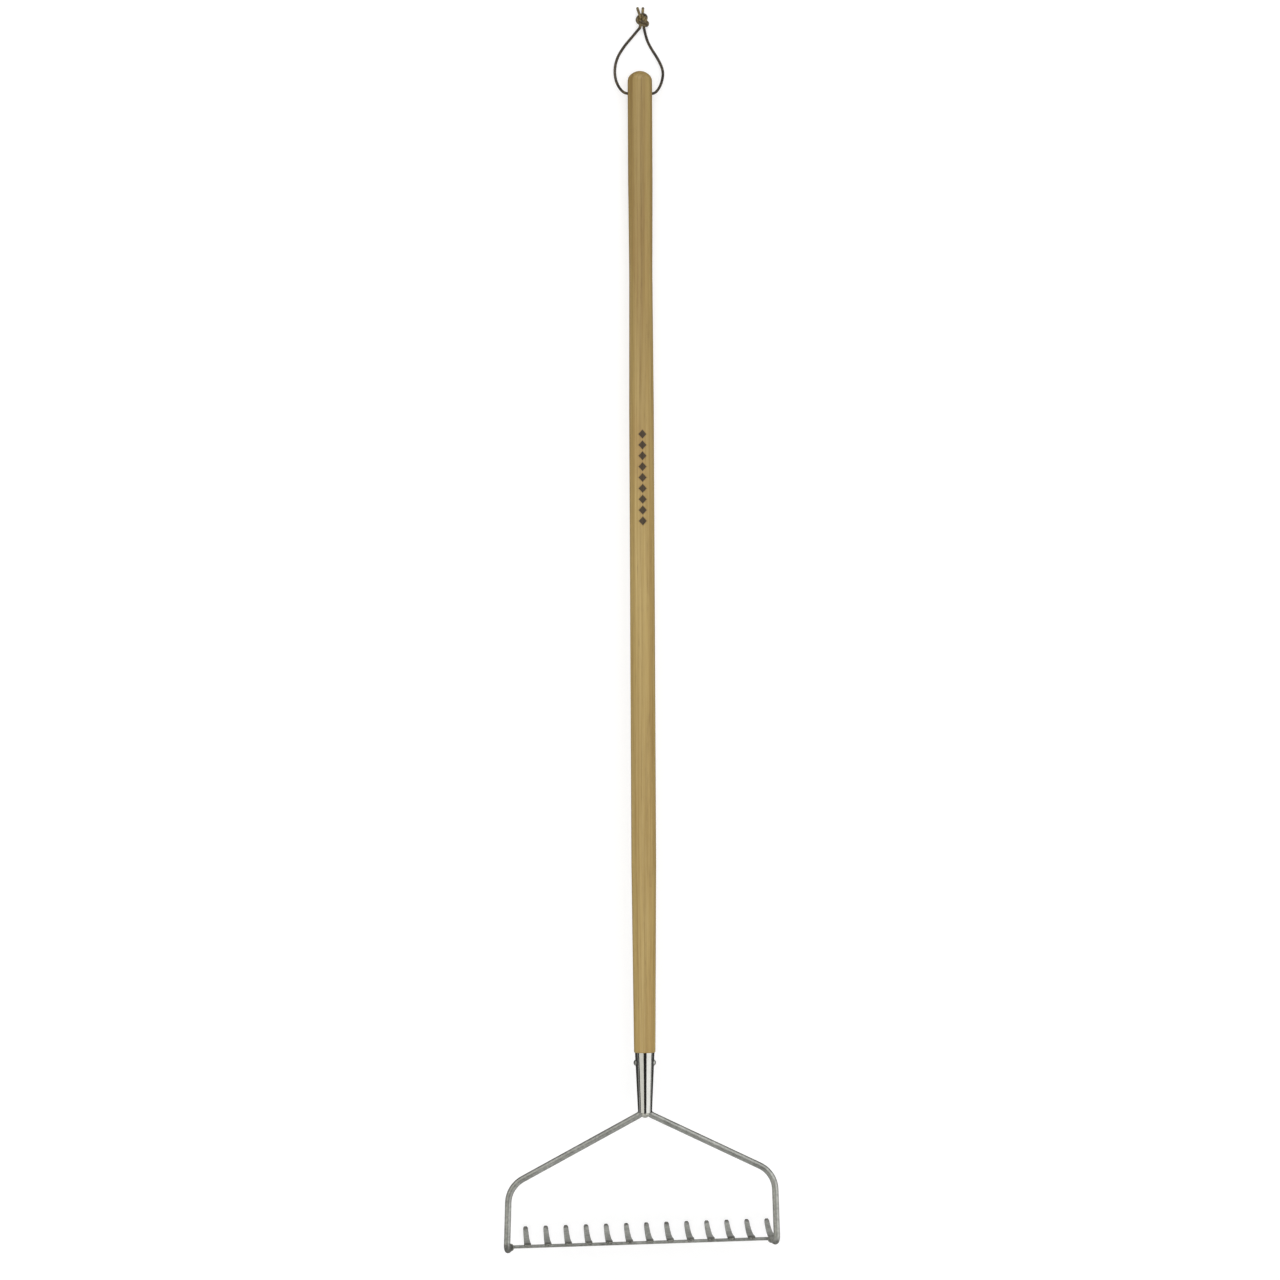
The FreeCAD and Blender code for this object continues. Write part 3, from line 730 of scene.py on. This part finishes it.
def steel(
    name, colour_low, colour_high, rough_low, rough_high, line_scale, line_depth, edge, darkened=()
):
    """Stainless steel: fine polishing lines, smears, specks and darker patches.

    edge is how bright it stays where it is seen edge on. darkened lists stretches of painted shade,
    with heat tint as well at the tines' bases: the tool's axis, where the stretch starts, where it
    is full, its strength.
    """
    finish = Finish(name)
    tool = finish.along_tool()
    lines = finish.noise(finish.stretched(tool, line_scale), 1.0, 2.0, 0.6)
    smear = finish.noise(tool, 38.0, 4.0, 0.6, 0.6)
    mottle = finish.noise(tool, 260.0, 3.0, 0.6)
    specks = finish.step(finish.noise(tool, 1500.0, 2.0, 0.5), 0.64, 0.74)
    share = finish.math("MULTIPLY_ADD", mottle, 0.55, finish.math("MULTIPLY", smear, 0.45))
    colour = finish.ramp(share, [(0.34, colour_low), (0.66, colour_high)])
    colour = finish.mix(finish.step(lines, 0.4, 0.7, 0.0, 0.22), colour, colour_high)
    colour = finish.mix(finish.math("MULTIPLY", specks, 0.35), colour, display(92, 92, 84))
    spread = finish.math("MULTIPLY_ADD", mottle, 0.012, -0.006)
    # each stretch in darkened gets painted shade; at the tines' bases it is heat tint as well
    for axis, fade, full, strength in darkened:
        place = finish.math("ADD", finish.axes(tool)[axis], spread)
        ends = (0, strength) if full > fade else (strength, 0)
        dark = finish.step(place, min(fade, full), max(fade, full), *ends)
        colour = finish.mix(dark, colour, display(62, 59, 54))
    finish.set(Base_Color=colour, Metallic=1.0, Specular_Tint=(edge, edge, edge, 1))
    rough = finish.math("MULTIPLY_ADD", smear, rough_high - rough_low, rough_low)
    rough = finish.math("MULTIPLY_ADD", mottle, 0.08, rough)
    finish.set(Roughness=finish.math("MULTIPLY_ADD", specks, 0.12, rough, clamp=True))
    fine = finish.bump(lines, line_depth, 0.5)
    finish.set(Normal=finish.bump(mottle, line_depth * 2, 0.35, fine))
    return finish.material


def weld_metal(name, painted_shade_factor=1.0):
    """Weld metal with heat-tinted patches; the last argument, below 1, darkens it all with painted
    shade.
    """
    finish = Finish(name)
    tool = finish.along_tool()
    grain = finish.noise(tool, 900.0, 3.0, 0.6)
    patch = finish.noise(tool, 210.0, 3.0, 0.6, 0.4)
    colour = finish.ramp(
        patch,
        [
            (0.3, display(118, 118, 112)),
            (0.42, display(190, 190, 182)),
            (0.56, display(220, 219, 211)),
            (0.72, display(150, 149, 150)),
        ],
    )
    # painted shade, patchy with the grain, where the last argument is below 1
    painted_shade_share = finish.step(grain, 0.2, 0.6)
    colour = finish.mix(painted_shade_share, colour, (painted_shade_factor, painted_shade_factor, painted_shade_factor * 0.97, 1), "MULTIPLY")
    finish.set(Base_Color=colour, Metallic=0.95)
    finish.set(Roughness=finish.math("MULTIPLY_ADD", grain, 0.3, 0.22))
    finish.set(Normal=finish.bump(grain, 0.0002, 0.5))
    return finish.material


KNOT_HIGHLIGHT_START = 0.7925  # y where the lace's painted olive highlights start to grow toward the knot, metres
KNOT_HIGHLIGHT_FULL = 0.7985  # and where they are at their strongest
BEND_FULL = -0.030  # x up to which the lace's left bend is worn grey, metres
BEND_END = -0.0265


def lace_leather():
    """Waxed leather with painted olive-tan highlights, most of them at the knot, greyer with wear
    at its left bend.
    """
    finish = Finish("lace_leather")
    place = finish.place
    grain = finish.cells(place, 1900.0)
    crease = finish.noise(place, 900.0, 4.0, 0.65, 0.8)
    cloud = finish.noise(place, 60.0, 3.0, 0.55)
    wear_and_highlight_noise = finish.noise(place, 160.0, 3.0, 0.6)
    colour = finish.ramp(
        cloud,
        [
            (0.32, display(26, 20, 11)),
            (0.5, display(42, 33, 19)),
            (0.66, display(66, 54, 33)),
        ],
    )
    across, along, _ = finish.axes(place)
    # painted olive-tan highlights: a few along the whole lace, many at the knot
    at_knot = finish.step(finish.math("MULTIPLY_ADD", wear_and_highlight_noise, 0.006, along), KNOT_HIGHLIGHT_START, KNOT_HIGHLIGHT_FULL)
    lace_highlight = finish.step(wear_and_highlight_noise, 0.56, 0.74, 0.0, 0.4)
    knot_highlight = finish.step(wear_and_highlight_noise, 0.34, 0.64, 0.08, 0.78)
    knot_highlight_extra = finish.math("SUBTRACT", knot_highlight, lace_highlight)
    share = finish.math("MULTIPLY_ADD", at_knot, knot_highlight_extra, lace_highlight)
    colour = finish.mix(share, colour, display(150, 128, 74))
    leftward = finish.math("MULTIPLY_ADD", wear_and_highlight_noise, 0.004, across)
    at_bend = finish.step(leftward, BEND_FULL, BEND_END, 0.5, 0.0)
    colour = finish.mix(at_bend, colour, display(112, 98, 82))
    # painted shade in the creases' hollows, where the crease height is low
    colour = finish.mix(finish.step(crease, 0.4, 0.62, 0.4, 0.0), colour, display(30, 22, 13))
    finish.set(Base_Color=colour, Roughness=finish.math("MULTIPLY_ADD", crease, 0.3, 0.36))
    finish.set(Specular_IOR_Level=0.5, Sheen_Weight=0.08, Sheen_Roughness=0.4)
    skin = finish.bump(grain, 0.00012, 0.5)
    finish.set(Normal=finish.bump(crease, 0.0002, 0.6, skin))
    return finish.material


def cut_leather():
    """Raw leather at the cut tips: paler, fibrous and dull."""
    finish = Finish("cut_leather")
    fibre = finish.noise(finish.place, 2400.0, 4.0, 0.7)
    colour = finish.ramp(fibre, [(0.35, display(112, 98, 78)), (0.6, display(158, 144, 120))])
    finish.set(Base_Color=colour, Roughness=finish.math("MULTIPLY_ADD", fibre, 0.2, 0.7))
    finish.set(Normal=finish.bump(fibre, 0.0002, 0.7))
    return finish.material


BRUSHED = (
    display(144, 145, 140),
    display(198, 199, 193),
    0.34,
    0.52,
    (900, 900, 900),
    0.00006,
    0.42,
)

FINISHES = {
    "ash_wood": ash_wood(),
    "polished_stainless": steel(
        "polished_stainless",
        display(194, 194, 188),
        display(206, 206, 201),
        0.02,
        0.05,
        (2600, 30, 2600),
        0.00001,
        0.42,
    ),
    "brushed_stainless": steel("brushed_stainless", *BRUSHED),
    # painted shade on the rods' feet, where they bend down to the bar
    "rod_stainless": steel("rod_stainless", *BRUSHED, darkened=[(1, 0.009, -0.003, 0.6)]),
    # painted shade on the tines' tips; heat tint and painted shade at their bases by the welds
    "tine_stainless": steel(
        "tine_stainless", *BRUSHED, darkened=[(2, -0.084, -0.094, 0.75), (2, -0.034, -0.022, 0.5)]
    ),
    "weld_metal": weld_metal("weld_metal"),
    # weld metal darkened with painted shade, for the beads at the tines and the arms' feet
    "weld_metal_painted_shade": weld_metal("weld_metal_painted_shade", 0.42),
    "lace_leather": lace_leather(),
    "cut_leather": cut_leather(),
}


def finish_of(name, slot):
    """A few nodes wear their slot's finish in a way of their own."""
    if name == "socket_rivet":
        return "brushed_stainless"
    if name.startswith("bow_arm"):
        return "rod_stainless"
    if name.startswith("tine_") and name != "tine_welds":
        return "tine_stainless"
    return slot


def dress():
    """Give every CAD node the finish of its slot in the record."""
    slots = {entry["node"]: entry["material_slot"] for entry in frame["record"]["subparts"]}
    for name, node in NODES.items():
        node.data.materials.clear()
        node.data.materials.append(FINISHES[finish_of(name, slots[name])])


lace.data.materials.append(FINISHES["lace_leather"])
knot.data.materials.append(FINISHES["lace_leather"])
knot.data.materials.append(FINISHES["cut_leather"])
for ends in knot_ends:
    for number in ends[len(ends) // 2 :]:
        knot.data.polygons[number].material_index = 1

# ---------------------------------------------------------------- finish
dress()
make_welds()
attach(lace, "hanging_loop")
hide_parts("hanging_lace")
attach(knot, "hanging_loop")
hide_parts("lace_knot")
[tuple(p) for p in even_points(lace_line, 1 * MM)]

# ---------------------------------------------------------------- stage

FLOOR_SIDE = 40.0
FLOOR_DROP = 0.2 * MM
FLOOR_GLOW = 0.55  # the floor's own light keeps shadows faint
WORLD_GLOW = 0.5
WORLD_DARK = 0.03  # what reflections see overhead and to the sides
WORLD_ENDS = 0.55  # what they see toward both ends of the handle
ENDS_FROM = 0.4  # how far a direction leans along the handle where that light sets in
ENDS_FULL = 0.75
HEAD_EDGE = -0.64  # reflections show a lit floor before this Y and a dark one past it
HEAD_EDGE_HALF = 0.02
FLOOR_LIT = 0.8
FLOOR_DARK = 0.08


def make_floor():
    """White floor with a little light of its own."""
    corners = [(-1, -1), (1, -1), (1, 1), (-1, 1)]
    corners = [(x * FLOOR_SIDE, y * FLOOR_SIDE, -FLOOR_DROP) for x, y in corners]
    floor = mesh_object("floor", corners, [(0, 1, 2, 3)])
    finish = Finish("floor")
    finish.set(Base_Color=(0.5, 0.5, 0.5, 1), Roughness=0.9, Specular_IOR_Level=0.0)
    finish.set(Emission_Color=(1, 1, 1, 1), Emission_Strength=FLOOR_GLOW)
    _, along, _ = finish.axes(finish.place)
    edge = (HEAD_EDGE - HEAD_EDGE_HALF, HEAD_EDGE + HEAD_EDGE_HALF)
    shade = finish.step(along, *edge, FLOOR_LIT, FLOOR_DARK)
    seen = finish.node("ShaderNodeEmission")
    finish.feed(seen.inputs["Strength"], shade)
    ray = finish.node("ShaderNodeLightPath")
    mixed = finish.node("ShaderNodeMixShader")
    finish.feed(mixed.inputs[0], ray.outputs["Is Glossy Ray"])
    finish.feed(mixed.inputs[1], finish.shader.outputs[0])
    finish.feed(mixed.inputs[2], seen.outputs[0])
    output = next(node for node in finish.tree.nodes if node.type == "OUTPUT_MATERIAL")
    finish.feed(output.inputs["Surface"], mixed.outputs[0])
    floor.data.materials.append(finish.material)


def make_world():
    """Even light all round; reflections see a dark studio, lit low down past both ends."""
    world = bpy.data.worlds.new("studio")
    bpy.context.scene.world = world
    world.use_nodes = True
    tree = world.node_tree
    tree.nodes.clear()

    def node(kind, **settings):
        made = tree.nodes.new(kind)
        for key, value in settings.items():
            setattr(made, key, value)
        return made

    direction = node("ShaderNodeSeparateXYZ")
    tree.links.new(node("ShaderNodeTexCoord").outputs["Generated"], direction.inputs[0])
    endward = node("ShaderNodeMath", operation="ABSOLUTE")
    tree.links.new(direction.outputs["Y"], endward.inputs[0])
    lit = node("ShaderNodeMapRange", interpolation_type="SMOOTHSTEP")
    lit.inputs["From Min"].default_value = ENDS_FROM
    lit.inputs["From Max"].default_value = ENDS_FULL
    lit.inputs["To Min"].default_value = WORLD_DARK
    lit.inputs["To Max"].default_value = WORLD_ENDS
    tree.links.new(endward.outputs[0], lit.inputs["Value"])
    glow = node("ShaderNodeBackground")
    glow.inputs["Strength"].default_value = WORLD_GLOW
    mirrored = node("ShaderNodeBackground")
    tree.links.new(lit.outputs[0], mirrored.inputs["Strength"])
    for background in (glow, mirrored):
        background.inputs["Color"].default_value = (1, 1, 1, 1)
    mixed = node("ShaderNodeMixShader")
    tree.links.new(node("ShaderNodeLightPath").outputs["Is Glossy Ray"], mixed.inputs[0])
    tree.links.new(glow.outputs[0], mixed.inputs[1])
    tree.links.new(mirrored.outputs[0], mixed.inputs[2])
    tree.links.new(mixed.outputs[0], node("ShaderNodeOutputWorld").inputs["Surface"])


def softbox(name, centre, level, upward, power, colour=(1, 1, 1), card=False):
    """Rectangular lamp facing the origin. level is its level side and upward its other side.

    A card only shows in reflections; the other lamps light the rake and the floor but don't show.
    """
    data = bpy.data.lights.new(name, "AREA")
    data.shape = "RECTANGLE"
    data.size = level
    data.size_y = upward
    data.energy = power
    data.color = colour
    lamp = bpy.data.objects.new(name, data)
    lamp.location = centre
    lamp.rotation_euler = Vector(centre).to_track_quat("Z", "Y").to_euler()
    lamp.visible_camera = False
    lamp.visible_diffuse = not card
    lamp.visible_glossy = card
    bpy.context.scene.collection.objects.link(lamp)


make_floor()
make_world()
softbox("softbox_left", (-2.3, 0, 1.6), 5.0, 2.0, 18, (1.0, 0.985, 0.95))
softbox("softbox_right", (2.0, 0, 1.7), 5.0, 2.2, 15)
softbox("softbox_top", (0, 0, 3.2), 2.4, 5.0, 49)
softbox("softbox_end", (0, 3.4, 2.2), 3.0, 1.6, 30)
softbox("card_left", (-2.1, 0, 2.1), 5.0, 3.0, 46, (1.0, 0.985, 0.93), card=True)
softbox("card_right", (2.05, 0, 1.75), 5.0, 3.2, 66, card=True)
softbox("card_end", (0, 3.4, 2.2), 3.0, 1.6, 66, card=True)
bpy.context.scene.view_settings.view_transform = "Standard"
